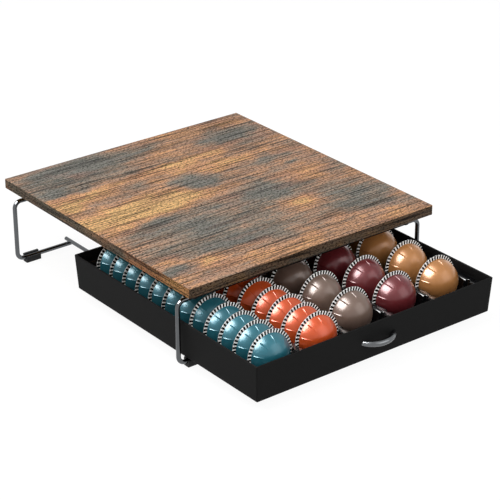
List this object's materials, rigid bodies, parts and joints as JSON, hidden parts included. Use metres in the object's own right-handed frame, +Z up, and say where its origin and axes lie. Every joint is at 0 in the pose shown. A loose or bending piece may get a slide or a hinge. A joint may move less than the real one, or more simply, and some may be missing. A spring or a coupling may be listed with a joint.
{
  "type": "coffee pod drawer",
  "caption": "Low wire stand with a wood-look top board and a shallow black steel drawer on rails, its moulded tray holding rows of domed coffee pods.",
  "frame": {"origin": "on the ground under the middle of the whole box, with the drawer pulled out as at rest", "axes": "+X to the right seen from the handle's side, -Y the way the drawer opens, +Z up"},
  "size_m": [0.3538, 0.4946, 0.1074],
  "materials": {
    "wood_laminate": "printed rustic wood laminate, satin",
    "particle_board": "raw particle board",
    "edge_band": "wood-print edge band, satin",
    "chrome_wire": "polished chrome",
    "foot_rubber": "matte black rubber",
    "clip_plastic": "matte black plastic",
    "screw_steel": "zinc-plated steel",
    "powder_coat": "matte black powder coat",
    "handle_metal": "polished chrome",
    "tray_gloss": "glossy black moulded plastic",
    "teal_pod": "glossy teal lacquer on aluminium",
    "orange_pod": "glossy orange lacquer on aluminium",
    "taupe_pod": "glossy taupe lacquer on aluminium",
    "burgundy_pod": "glossy burgundy lacquer on aluminium",
    "caramel_pod": "glossy caramel lacquer on aluminium",
    "foil": "satin aluminium foil"
  },
  "bodies": {
    "stand": {"board_core": "particle_board", "top_laminate": "wood_laminate", "edge_band_front": "edge_band", "edge_band_rear": "edge_band", "edge_band_left": "edge_band", "edge_band_right": "edge_band", "front_wire": "chrome_wire", "rear_wire": "chrome_wire", "left_rail": "chrome_wire", "right_rail": "chrome_wire", "foot_front_left": "foot_rubber", "foot_front_right": "foot_rubber", "foot_rear_left": "foot_rubber", "foot_rear_right": "foot_rubber", "clip_front_left": "clip_plastic", "clip_front_right": "clip_plastic", "clip_rear_left": "clip_plastic", "clip_rear_right": "clip_plastic", "clip_screws": "screw_steel"},
    "drawer": {"drawer_pan": "powder_coat", "bow_handle": "handle_metal", "handle_screws": "screw_steel", "pod_tray": "tray_gloss", "teal_shells": "teal_pod", "teal_lids": "foil", "orange_shells": "orange_pod", "orange_lids": "foil", "taupe_shells": "taupe_pod", "taupe_lids": "foil", "burgundy_shells": "burgundy_pod", "burgundy_lids": "foil", "caramel_shells": "caramel_pod", "caramel_lids": "foil"}
  },
  "joints": [
    {"name": "drawer_slide", "type": "slide", "parent": "stand", "child": "drawer", "axis": [0, -1, 0], "range_m": [-0.1115, 0.1185]}
  ]
}
